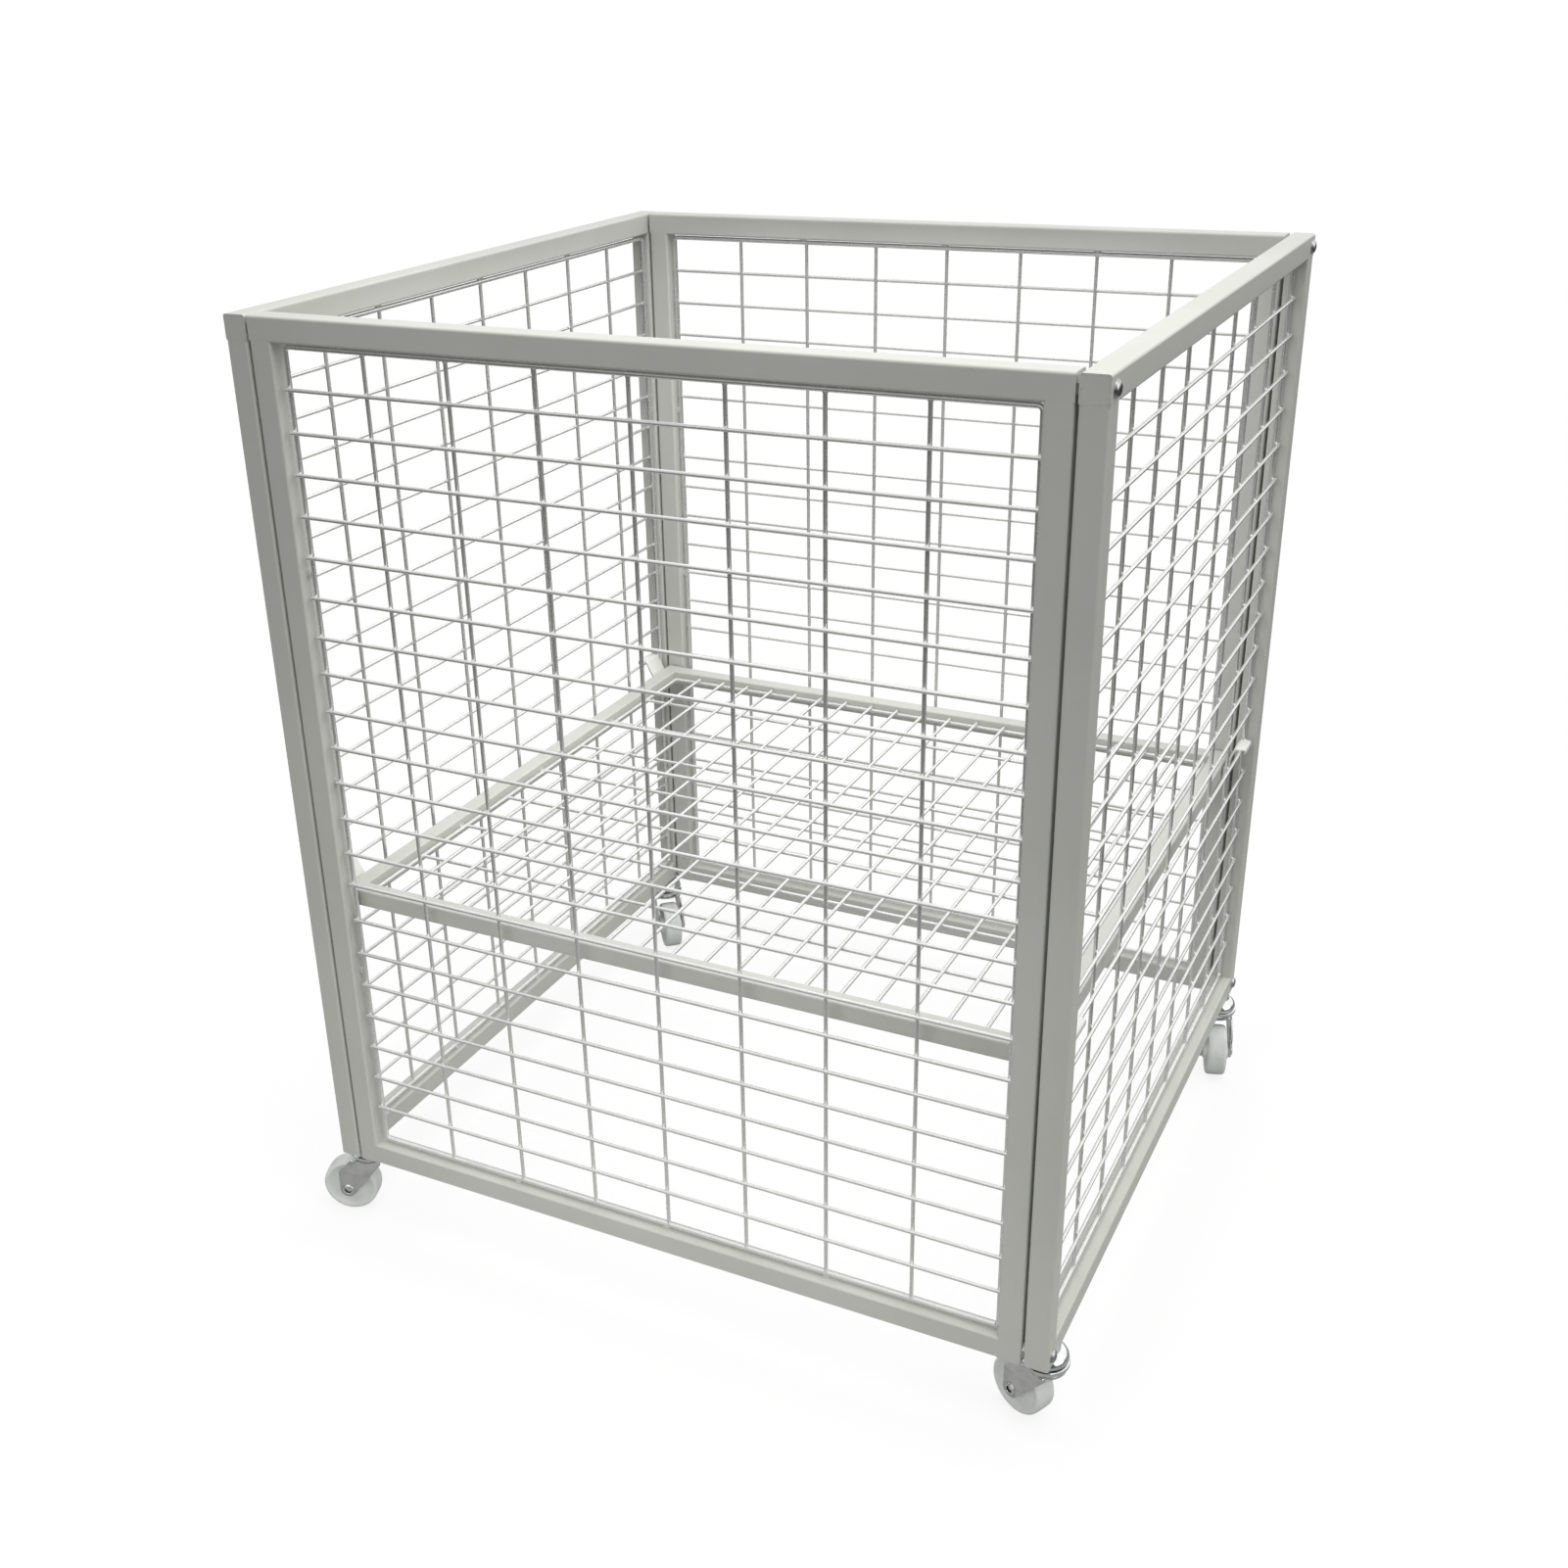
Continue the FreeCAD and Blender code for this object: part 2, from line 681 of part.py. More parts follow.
def outermost(edge):
    """Finds how far a straight edge's middle lies from the Z axis."""
    middle = edge.CenterOfMass
    return (middle.x**2 + middle.y**2) ** 0.5


def caster_wheel(name, middle, turn):
    """Turns the nylon wheel, with chamfered edges and a hub that fills the fork."""
    hub = "(ForkInside / 2 - SideClearance)"
    side = "(WheelWidth / 2)"
    bore = (ROUND, "AxleRadius + RunningClearance")
    steps = [
        ((SMALL_FLATS, "HubRadius"), bore, "-" + hub, "-" + side),
        ((WHEEL_FLATS, "WheelRadius"), bore, "-" + side, side),
        ((SMALL_FLATS, "HubRadius"), bore, side, hub),
    ]
    body = stacked_piece(steps, *middle, turn)
    tread = value_of("WheelRadius") * 0.9
    chamfer(body, "WheelChamfer", lambda edge: edge.BoundBox.ZLength < 1e-6 and outermost(edge) > tread)
    add_node(body, name + "_wheel")


def make_casters():
    """Makes the four casters, each trailing along its own heading."""
    group("caster_caps", [caster_cap(side, end) for _, side, end, _ in CASTERS])
    group("caster_stems", [caster_stem(side, end) for _, side, end, _ in CASTERS])
    group("caster_stem_nuts", [stem_nut(side, end) for _, side, end, _ in CASTERS])
    for name, side, end, heading in CASTERS:
        stem = caster_place(side, end)
        turn = FreeCAD.Rotation(Z_AXIS, value_of(heading))
        lying = turn.multiply(FreeCAD.Rotation(X_AXIS, 90))
        middle = at_axle(stem, heading)
        caster_cup(name + "_caster", stem, turn)
        caster_fork(name + "_caster", stem, turn)
        caster_axle(name + "_caster", middle, lying)
        caster_wheel(name + "_caster", middle, lying)


# The bin ----------------------------------------------------------------------


def make_panels():
    for panel in PANELS:
        make_panel_tubes(panel)
        x, y = PANEL_ORIGIN[panel["name"]]
        make_mesh(
            panel["name"] + "_mesh",
            "(%s) - 2 * Tube" % panel["width"],
            "FrameHeight - 2 * Tube",
            "Tube",
            ("CrossWires", "CrossPitch"),
            ("UprightWires", "UprightPitch"),
            x,
            y,
            "CasterHeight + FrameHeight / 2",
            FreeCAD.Rotation(Z_AXIS, panel["turn"]),
        )
    group("top_rail_end_plates", [end_plate(panel, side) for panel in PANELS for side in (-1, 1)])


def make_shelf():
    make_shelf_frame()
    make_mesh(
        "shelf_mesh",
        "ShelfDepth - 2 * ShelfTube",
        "ShelfWidth - 2 * ShelfTube",
        "ShelfTube",
        ("ShelfWires", "ShelfPitch"),
        ("ShelfCrossWires", "ShelfCrossPitch"),
        "FrameShift",
        "0",
        "CasterHeight + ShelfTop",
        # the cross wires run front to back, and the mesh faces up
        FreeCAD.Rotation(Y_AXIS, Z_AXIS.negative(), X_AXIS.negative(), "XYZ"),
    )
    group("shelf_hooks", [shelf_hook(side, end) for side in (-1, 1) for end in (-1, 1)])


def check_document():
    doc.recompute()
    for item in doc.Objects:
        if "Invalid" in item.State or "Error" in item.State:
            raise RuntimeError("%s failed: %s" % (item.Name, item.State))
    for node in nodes:
        shape = node.Shape
        if shape.isNull() or not shape.isValid() or not shape.Solids:
            raise RuntimeError("%s has no valid solid" % node.Label)


def export_nodes():
    os.makedirs("parts", exist_ok=True)
    for node in nodes:
        node.Shape.exportStep("parts/%s.step" % node.Label)
        print("%-28s %3d solids %12.1f mm3" % (node.Label, len(node.Shape.Solids), node.Shape.Volume))


make_panels()
make_shelf()
make_bolts()
make_casters()
check_document()
export_nodes()
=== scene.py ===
"""A retail dump bin on four casters: tube panels filled with welded wire mesh."""

import math

import bmesh
import bpy
from mathutils import Matrix, Vector


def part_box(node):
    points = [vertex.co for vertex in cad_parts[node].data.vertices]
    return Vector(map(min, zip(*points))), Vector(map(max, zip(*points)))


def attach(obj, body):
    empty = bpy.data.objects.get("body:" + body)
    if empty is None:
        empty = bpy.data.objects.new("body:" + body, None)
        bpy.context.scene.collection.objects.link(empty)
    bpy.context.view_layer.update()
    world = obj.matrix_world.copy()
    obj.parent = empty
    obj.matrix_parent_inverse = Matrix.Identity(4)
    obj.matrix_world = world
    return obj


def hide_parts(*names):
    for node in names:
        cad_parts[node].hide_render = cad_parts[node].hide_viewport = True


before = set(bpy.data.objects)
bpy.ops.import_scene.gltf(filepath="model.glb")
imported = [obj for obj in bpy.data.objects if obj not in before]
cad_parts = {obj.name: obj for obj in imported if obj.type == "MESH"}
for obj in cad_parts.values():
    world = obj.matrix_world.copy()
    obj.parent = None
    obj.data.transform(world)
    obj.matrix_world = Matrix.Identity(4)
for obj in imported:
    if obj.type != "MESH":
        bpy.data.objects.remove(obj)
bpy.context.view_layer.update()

# Sizes in metres ---------------------------------------------------------------

TUBE = 0.019
TUBE_WALL = 0.0012
TUBE_CORNER = 0.002
SHELF_TUBE = 0.015
SHELF_WALL = 0.001
SHELF_CORNER = 0.0015

# the radii of the two wires, and the loop's distance from the tubes and its bends
WIRE = 0.0015
LOOP_WIRE = 0.002
LOOP_INSET = 0.0035
LOOP_BEND = 0.0035
# how far the cross wires reach past the middle of the loop wire
OVERHANG = 0.0015

# how many wires there are, and the pitch from one to the next
CROSS_WIRES = (21, 0.0311)
UPRIGHT_WIRES = (7, 0.0702)
SHELF_WIRES = (19, 0.0283)
SHELF_CROSS_WIRES = (7, 0.0662)

# the casters' stems stand this far in from the ends of the side panels
STEM_INSET = 0.0275
CASTER_HEIGHT = 0.073
TRAIL = 0.021
AXLE_DROP = 0.048

# the front of the bin faces -Y, and its tube frame is centred a little to +X
LOWEST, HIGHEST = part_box("front_mesh")
FRAME_X = (LOWEST.x + HIGHEST.x) / 2


# Materials ---------------------------------------------------------------------


def add_node(tree, kind, values=None, **settings):
    """Adds a shader node, with its settings and the values of its sockets."""
    node = tree.nodes.new(kind)
    for key, value in settings.items():
        setattr(node, key, value)
    for key, value in (values or {}).items():
        node.inputs[key].default_value = value
    return node


def noise(tree, where, scale, detail, stretch=(1, 1, 1)):
    """Adds a noise pattern that is fixed to the piece."""
    mapping = add_node(tree, "ShaderNodeMapping", {"Scale": stretch})
    pattern = add_node(tree, "ShaderNodeTexNoise", {"Scale": scale, "Detail": detail})
    tree.links.new(where.outputs["Object"], mapping.inputs["Vector"])
    tree.links.new(mapping.outputs["Vector"], pattern.inputs["Vector"])
    return pattern.outputs["Fac"]


def spread(tree, source, taken, given=(0, 1)):
    """Maps the range that is taken from a pattern onto the range that is given."""
    ends = {"From Min": taken[0], "From Max": taken[1], "To Min": given[0], "To Max": given[1]}
    node = add_node(tree, "ShaderNodeMapRange", ends)
    tree.links.new(source, node.inputs["Value"])
    return node.outputs["Result"]


def blend_colours(tree, factor, first, second):
    """Mixes two colours, either of which may be the result of an earlier mix."""
    node = add_node(tree, "ShaderNodeMix", data_type="RGBA")
    tree.links.new(factor, node.inputs["Factor"])
    for name, colour in (("A", first), ("B", second)):
        socket = [item for item in node.inputs if item.name == name and item.type == "RGBA"][0]
        if isinstance(colour, bpy.types.NodeSocket):
            tree.links.new(colour, socket)
        else:
            socket.default_value = (*colour, 1)
    return [item for item in node.outputs if item.type == "RGBA"][0]


def darker(colour, share):
    """Gives a share of a colour's brightness."""
    return tuple(part * share for part in colour)


def worn_edges(tree, reach, pattern):
    """Finds the sharp edges of a piece, broken up by a pattern."""
    rounded = add_node(tree, "ShaderNodeBevel", {"Radius": reach}, samples=4)
    surface = add_node(tree, "ShaderNodeNewGeometry")
    facing = add_node(tree, "ShaderNodeVectorMath", operation="DOT_PRODUCT")
    tree.links.new(rounded.outputs["Normal"], facing.inputs[0])
    tree.links.new(surface.outputs["Normal"], facing.inputs[1])
    edge = spread(tree, facing.outputs["Value"], (0.985, 0.9))
    broken = spread(tree, pattern, (0.48, 0.62))
    both = add_node(tree, "ShaderNodeMath", operation="MULTIPLY")
    tree.links.new(edge, both.inputs[0])
    tree.links.new(broken, both.inputs[1])
    return both.outputs["Value"]


def surface_bump(tree, shader, height, strength, distance):
    """Raises a pattern slightly on the surface."""
    bump = add_node(tree, "ShaderNodeBump", {"Strength": strength, "Distance": distance})
    tree.links.new(height, bump.inputs["Height"])
    tree.links.new(bump.outputs["Normal"], shader.inputs["Normal"])


def start_material(name, **values):
    """Starts a material, with uniform values set on its shader."""
    material = bpy.data.materials.new(name)
    material.use_nodes = True
    tree = material.node_tree
    shader = tree.nodes["Principled BSDF"]
    for key, value in values.items():
        shader.inputs[key.replace("_", " ")].default_value = value
    where = add_node(tree, "ShaderNodeTexCoord")
    return material, tree, shader, where


def powder_coat(name, tone, shade):
    """Baked powder coat: a fine orange peel, slight mottling, and thin spots on the edges."""
    material, tree, shader, where = start_material(name, Specular_IOR_Level=0.42)
    cloudy = noise(tree, where, scale=9, detail=4)
    specks = noise(tree, where, scale=420, detail=3)
    peel = noise(tree, where, scale=1100, detail=2)
    mottled = blend_colours(tree, spread(tree, cloudy, (0.36, 0.64)), tone, shade)
    dust = spread(tree, specks, (0.66, 0.74), (0, 0.5))
    flecked = blend_colours(tree, dust, mottled, darker(shade, 0.9))
    worn = worn_edges(tree, 0.0009, specks)
    edged = blend_colours(tree, worn, flecked, darker(tone, 0.72))
    tree.links.new(edged, shader.inputs["Base Color"])
    tree.links.new(spread(tree, cloudy, (0.3, 0.7), (0.36, 0.5)), shader.inputs["Roughness"])
    surface_bump(tree, shader, peel, strength=0.22, distance=0.00012)
    return material


def silver_wire(name, tone, shade):
    """Drawn wire with a silver coat: mostly metal, slightly cloudy, with fine specks."""
    material, tree, shader, where = start_material(name, Metallic=0.75)
    cloudy = noise(tree, where, scale=45, detail=3)
    specks = noise(tree, where, scale=500, detail=3)
    mottled = blend_colours(tree, spread(tree, cloudy, (0.36, 0.64)), tone, shade)
    dust = spread(tree, specks, (0.62, 0.74), (0, 0.5))
    flecked = blend_colours(tree, dust, mottled, darker(shade, 0.75))
    tree.links.new(flecked, shader.inputs["Base Color"])
    tree.links.new(spread(tree, cloudy, (0.3, 0.7), (0.22, 0.34)), shader.inputs["Roughness"])
    surface_bump(tree, shader, specks, strength=0.12, distance=0.0001)
    return material


def plated_steel(name, tone, shade, rough, brushed):
    """Plated steel: a hard shine with faint wiping marks and dull patches."""
    material, tree, shader, where = start_material(name, Metallic=1.0)
    patches = noise(tree, where, scale=130, detail=4)
    marks = noise(tree, where, scale=700, detail=3, stretch=(1, 1, brushed))
    worn = worn_edges(tree, 0.0005, patches)
    mottled = blend_colours(tree, spread(tree, patches, (0.4, 0.68)), tone, shade)
    edged = blend_colours(tree, worn, mottled, darker(shade, 0.6))
    tree.links.new(edged, shader.inputs["Base Color"])
    dull = spread(tree, patches, (0.3, 0.7), (rough * 0.7, rough * 1.5))
    tree.links.new(dull, shader.inputs["Roughness"])
    surface_bump(tree, shader, marks, strength=0.1, distance=0.00006)
    return material


def wheel_nylon(name):
    """Natural nylon: milky, slightly glossy, scuffed where it rolls."""
    material, tree, shader, where = start_material(
        name,
        Subsurface_Weight=0.35,
        Subsurface_Radius=(0.004, 0.004, 0.004),
        Subsurface_Scale=1.0,
        Specular_IOR_Level=0.5,
    )
    cloudy = noise(tree, where, scale=60, detail=3)
    scuffs = noise(tree, where, scale=380, detail=5)
    clouds = spread(tree, cloudy, (0.35, 0.65))
    milky = blend_colours(tree, clouds, (0.80, 0.81, 0.79), (0.72, 0.74, 0.72))
    rubbed = spread(tree, scuffs, (0.6, 0.74), (0, 0.5))
    scuffed = blend_colours(tree, rubbed, milky, (0.5, 0.51, 0.49))
    worn = worn_edges(tree, 0.0008, scuffs)
    edged = blend_colours(tree, worn, scuffed, (0.46, 0.46, 0.44))
    tree.links.new(edged, shader.inputs["Base Color"])
    tree.links.new(spread(tree, scuffs, (0.3, 0.7), (0.28, 0.5)), shader.inputs["Roughness"])
    surface_bump(tree, shader, scuffs, strength=0.15, distance=0.0001)
    return material


tube_coat = powder_coat("tube_powder_coat", (0.585, 0.595, 0.55), (0.555, 0.565, 0.52))
hook_coat = powder_coat("hook_powder_coat", (0.78, 0.79, 0.75), (0.74, 0.75, 0.71))
wire_coat = silver_wire("silver_wire_coat", (0.91, 0.912, 0.895), (0.86, 0.862, 0.845))
chrome = plated_steel("chrome_plate", (0.86, 0.87, 0.88), (0.72, 0.73, 0.75), 0.1, 1)
zinc = plated_steel("zinc_plate", (0.52, 0.53, 0.54), (0.40, 0.41, 0.42), 0.3, 0.1)
# near-black steel, painted into the rivets' hollows as the shade that falls in them
painted_hollow_shade = plated_steel("painted_hollow_shade_steel", (0.05, 0.05, 0.05), (0.03, 0.03, 0.03), 0.45, 1)
nylon = wheel_nylon("wheel_nylon")


# Building blocks ---------------------------------------------------------------


def add_object(name, data):
    """Adds an object to the scene."""
    item = bpy.data.objects.new(name, data)
    bpy.context.scene.collection.objects.link(item)
    return item


def mesh_of(bm, name):
    """Keeps a finished mesh under a name."""
    mesh = bpy.data.meshes.new(name)
    bm.to_mesh(mesh)
    bm.free()
    return mesh


def merge(bm, part):
    """Moves a finished part into a bigger mesh."""
    mesh = mesh_of(part, "part")
    bm.from_mesh(mesh)
    bpy.data.meshes.remove(mesh)


def move(bm, matrix):
    """Moves a whole mesh to its place."""
    bmesh.ops.transform(bm, matrix=matrix, verts=bm.verts)


def make_piece(name, bm, material, body, replaced=(), weighted=False):
    """Turns a mesh into a piece of the bin, which rides on a body."""
    mesh = mesh_of(bm, name)
    mesh.materials.append(material)
    mesh.shade_smooth()
    mesh.set_sharp_from_angle(angle=math.radians(40))
    piece = add_object(name, mesh)
    if weighted:
        piece.modifiers.new("even_shading", "WEIGHTED_NORMAL").keep_sharp = True
    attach(piece, body)
    if replaced:
        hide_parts(*replaced)
    return piece


def verts_of(items):
    """Picks the verts out of what an operator made."""
    return [item for item in items if isinstance(item, bmesh.types.BMVert)]


def edges_of(items):
    """Picks the edges out of what an operator made."""
    return [item for item in items if isinstance(item, bmesh.types.BMEdge)]


def bevel(bm, edges, offset, segments):
    """Rounds edges off."""
    bmesh.ops.bevel(
        bm,
        geom=edges,
        offset=offset,
        offset_type="OFFSET",
        segments=segments,
        profile=0.5,
        affect="EDGES",
        material=-1,
    )


def soften(bm, offset, angle=30):
    """Rounds the edges that are sharper than an angle."""
    limit = math.radians(angle)
    closed = [edge for edge in bm.edges if len(edge.link_faces) == 2]
    bevel(bm, [edge for edge in closed if edge.calc_face_angle(0) > limit], offset, 2)


def turned(profile, steps=40, closed=False):
    """Turns a half section, given as (radius, height) pairs, about Z."""
    bm = bmesh.new()
    verts = [bm.verts.new((radius, 0, height)) for radius, height in profile]
    edges = [bm.edges.new(pair) for pair in zip(verts, verts[1:])]
    if closed:
        edges.append(bm.edges.new((verts[-1], verts[0])))
    bmesh.ops.spin(
        bm,
        geom=verts + edges,
        cent=(0, 0, 0),
        axis=(0, 0, 1),
        angle=math.tau,
        steps=steps,
        use_merge=True,
    )
    bmesh.ops.remove_doubles(bm, verts=bm.verts, dist=1e-6)
    bmesh.ops.recalc_face_normals(bm, faces=bm.faces)
    return bm


# Square tubes ------------------------------------------------------------------

# a sunk end is this much slimmer, so that it lies under the other tube's faces
SUNK_SIZE = 0.995


def end_faces(bm, along):
    """Finds the faces at the ends of a bar that runs along an axis."""
    return [face for face in bm.faces if abs(face.normal[along]) > 0.9]


def square_tube(node, corner, wall, sunk=(0, 0)):
    """Makes a hollow tube with rounded corners, in the place of its node.

    Where an end is welded to the side of another tube and ground flush, it is
    sunk in by the depth of that tube's round corner.
    """
    low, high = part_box(node)
    along = max(range(3), key=lambda axis: high[axis] - low[axis])
    low[along] -= sunk[0] * corner
    high[along] += sunk[1] * corner
    block = Matrix.Translation((low + high) / 2) @ Matrix.Diagonal((*(high - low), 1))
    bm = bmesh.new()
    bmesh.ops.create_cube(bm, size=1, matrix=block)
    ends = end_faces(bm, along)
    sides = [edge for edge in bm.edges if not any(edge in face.edges for face in ends)]
    bevel(bm, sides, corner, 6)
    ends = end_faces(bm, along)
    for face, depth in zip(sorted(ends, key=lambda face: face.normal[along]), sunk):
        if depth:
            middle = Matrix.Translation(-face.calc_center_median())
            bmesh.ops.scale(bm, verts=face.verts, vec=[SUNK_SIZE] * 3, space=middle)
    bmesh.ops.inset_individual(bm, faces=ends, thickness=wall, use_even_offset=True)
    rims = [edge for face in ends for edge in face.edges]
    bmesh.ops.delete(bm, geom=ends, context="FACES_ONLY")
    bmesh.ops.bridge_loops(bm, edges=rims)
    bmesh.ops.recalc_face_normals(bm, faces=bm.faces)
    make_piece(node + "_tube", bm, tube_coat, "bin", [node], weighted=True)


def make_tubes():
    """Makes the four panels' frames and the shelf's."""
    uprights = {"front": ("left_stile", "right_stile"), "left": ("front_upright", "back_upright")}
    uprights.update(back=uprights["front"], right=uprights["left"])
    for panel in ("front", "back", "left", "right"):
        for upright in uprights[panel]:
            square_tube("%s_%s" % (panel, upright), TUBE_CORNER, TUBE_WALL, sunk=(0, 1))
        square_tube(panel + "_top_rail", TUBE_CORNER, TUBE_WALL)
        square_tube(panel + "_bottom_rail", TUBE_CORNER, TUBE_WALL, sunk=(1, 1))
    for side in ("left", "right"):
        square_tube("shelf_%s_rail" % side, SHELF_CORNER, SHELF_WALL)
    for side in ("front", "back"):
        square_tube("shelf_%s_rail" % side, SHELF_CORNER, SHELF_WALL, sunk=(1, 1))


make_tubes()


# Welded mesh -------------------------------------------------------------------


def add_loop(bm, width, height, depth):
    """Bends the thick wire round the mesh: straight runs are extruded and corners spun."""
    place = Vector((LOOP_BEND - width / 2, depth, -height / 2))
    bmesh.ops.create_circle(
        bm,
        segments=12,
        radius=LOOP_WIRE,
        matrix=Matrix.Translation(place) @ Matrix.Rotation(math.pi / 2, 4, "Y"),
    )
    ring = bm.edges[:]
    first = bm.verts[:]
    along = Vector((1, 0, 0))
    for length in (width, height, width, height):
        run = along * (length - 2 * LOOP_BEND)
        grown = bmesh.ops.extrude_edge_only(bm, edges=ring)["geom"]
        ring = edges_of(grown)
        bmesh.ops.translate(bm, verts=verts_of(grown), vec=run)
        place = place + run
        inwards = Vector((-along.z, 0, along.x))
        bent = bmesh.ops.spin(
            bm,
            geom=ring,
            cent=place + inwards * LOOP_BEND,
            axis=(0, -1, 0),
            angle=math.pi / 2,
            steps=4,
        )["geom_last"]
        ring = edges_of(bent)
        place = place + (along + inwards) * LOOP_BEND
        along = inwards
    last = list(dict.fromkeys(vert for edge in ring for vert in edge.verts))
    bmesh.ops.remove_doubles(bm, verts=first + last, dist=1e-5)


def small_shape(make):
    """Keeps a small shape as a mesh, so that many copies of it can be set down."""
    bm = bmesh.new()
    make(bm)
    return mesh_of(bm, "small_shape")


def set_down(bm, shape, place, turn=None, size=(1, 1, 1)):
    """Sets a sized copy of a small shape down in a bigger mesh."""
    copy = shape.copy()
    matrix = Matrix.Translation(place)
    if turn is not None:
        matrix = matrix @ turn.to_track_quat("Z", "Y").to_matrix().to_4x4()
    copy.transform(matrix @ Matrix.Diagonal((*size, 1)))
    bm.from_mesh(copy)
    bpy.data.meshes.remove(copy)


def straight_wire(bm):
    """Makes a round bar one long and one in radius."""
    bmesh.ops.create_cone(bm, cap_ends=True, segments=12, radius1=1, radius2=1, depth=1)


def weld_bead(bm):
    """Makes a ball one in radius."""
    bmesh.ops.create_uvsphere(bm, u_segments=8, v_segments=5, radius=1)


def weld_tack(bm):
    """Makes a soft-edged block one wide and one high."""
    bmesh.ops.create_cube(bm, size=1)
    soften(bm, 0.2)


BAR = small_shape(straight_wire)
BEAD = small_shape(weld_bead)
TACK = small_shape(weld_tack)

# half the size of each bead: on a cross wire's end, where it lies on the loop, at an
# upright wire's end, and where two wires cross
END_BEAD = (0.0005, WIRE, WIRE)
LOOP_BEAD = (0.0022, 0.001, 0.0019)
UPRIGHT_BEAD = (0.0021, 0.0018, 0.0011)
CROSSING_BEAD = (0.002, 0.0009, 0.0018)

# the tacks between the loop and the tubes, and how far they sink into both together
TACK_LENGTH = 0.006
TACK_THICKNESS = 0.003
SUNK_ACROSS = 0.0012
SUNK_SIDEWAYS = 0.0016


def add_wire(bm, start, end):
    """Adds a straight round wire between two points."""
    run = end - start
    set_down(bm, BAR, (start + end) / 2, run, (WIRE, WIRE, run.length))


def even_places(count, pitch):
    """Lists evenly spaced places about the middle."""
    return [(index - (count - 1) / 2) * pitch for index in range(count)]


def wire_mesh(node, width, height, tube, levels, places, matrix, shift=(0, 0)):
    """Makes a mesh panel, drawn about its opening's middle with Y inwards.

    levels are the heights of each cross wire's two ends, and places where each upright
    wire stands at its foot and head. The loop sits off the middle by shift, sideways
    and inwards. The cross wires go with it both ways, and the upright wires inwards.
    """
    loop_width = width - 2 * LOOP_INSET
    loop_height = height - 2 * LOOP_INSET
    loop_depth = tube / 2 + shift[1]
    cross_depth = loop_depth - LOOP_WIRE - WIRE
    upright_depth = loop_depth - LOOP_WIRE + WIRE
    bm = bmesh.new()
    add_loop(bm, loop_width, loop_height, loop_depth)
    bmesh.ops.translate(bm, verts=bm.verts, vec=(shift[0], 0, 0))
    span = loop_width / 2 + OVERHANG
    for pair in levels:
        ends = [
            Vector((shift[0] + side * span, cross_depth, level))
            for side, level in zip((-1, 1), pair)
        ]
        add_wire(bm, *ends)
        for side, end in zip((-1, 1), ends):
            set_down(bm, BEAD, end, size=END_BEAD)
            touch = Vector((shift[0] + side * loop_width / 2, cross_depth + WIRE, end.z))
            set_down(bm, BEAD, touch, size=LOOP_BEAD)
    reach = loop_height / 2 - LOOP_WIRE
    for foot, head in places:
        ends = [Vector((foot, upright_depth, -reach)), Vector((head, upright_depth, reach))]
        add_wire(bm, *ends)
        for end in ends:
            set_down(bm, BEAD, end, size=UPRIGHT_BEAD)
        for low, high in levels:
            level = low + (high - low) * (foot + span) / (2 * span)
            place = foot + (head - foot) * (level + reach) / (2 * reach)
            crossing = Vector((place, cross_depth + WIRE, level))
            set_down(bm, BEAD, crossing, size=CROSSING_BEAD)
    gap = LOOP_INSET - LOOP_WIRE
    for quarter in (-0.25, 0, 0.25):
        for side in (-1, 1):
            up = side * (height / 2 - gap / 2)
            space = gap - side * shift[0]
            out = side * (width / 2 - space / 2)
            across = Vector((quarter * width, loop_depth, up))
            upright = Vector((out, loop_depth, quarter * height))
            across_size = (TACK_LENGTH, TACK_THICKNESS, gap + SUNK_ACROSS)
            upright_size = (space + SUNK_SIDEWAYS, TACK_THICKNESS, TACK_LENGTH)
            set_down(bm, TACK, across, size=across_size)
            set_down(bm, TACK, upright, size=upright_size)
    move(bm, matrix)
    make_piece(node + "_wires", bm, wire_coat, "bin", [node])


# How far the wires stand off their even places, in millimetres: the cross
# wires of the front panel from the lowest up, the two ends of every cross wire of the
# right panel, and the feet and heads of the upright wires along each panel.
FRONT_CROSS = (
    *(2.6, 2.5, 2.4, 2.0, 1.4, 0.9, 0.9, 3.1, 0.6, 0.5, 0.8),
    *(0.3, -0.1, 0.5, -1.3, -0.6, 0.2, 0.7, 1.2, 1.4, 1.8),
)
RIGHT_CROSS = ((1.2, 4.8),) * 21
FRONT_UPRIGHT = (
    *((2.7, -0.4), (3.6, -0.1), (4.5, 1.5), (3.0, 3.5)),
    *((3.2, 4.0), (2.0, 3.4), (2.8, 2.4)),
)
BACK_UPRIGHT = ((2, 2), *((-2, -2),) * 4, (-1, -1), (-1.5, -1.5))
RIGHT_UPRIGHT = ((1.5, -2.3),) * 7
LEFT_UPRIGHT = (
    *((-4, -4), (-2.8, -2.8), (-1.6, -1.6), (-0.9, -0.5)),
    *((-0.4, 0.8), (0.8, 1.6), (2.5, 2.7)),
)
EVEN = ((0, 0),) * 21


def leaning(places, drift):
    """Gives where both ends of each wire are, after moving them by millimetres."""
    return [
        (place + first / 1000, place + last / 1000)
        for place, (first, last) in zip(places, drift)
    ]


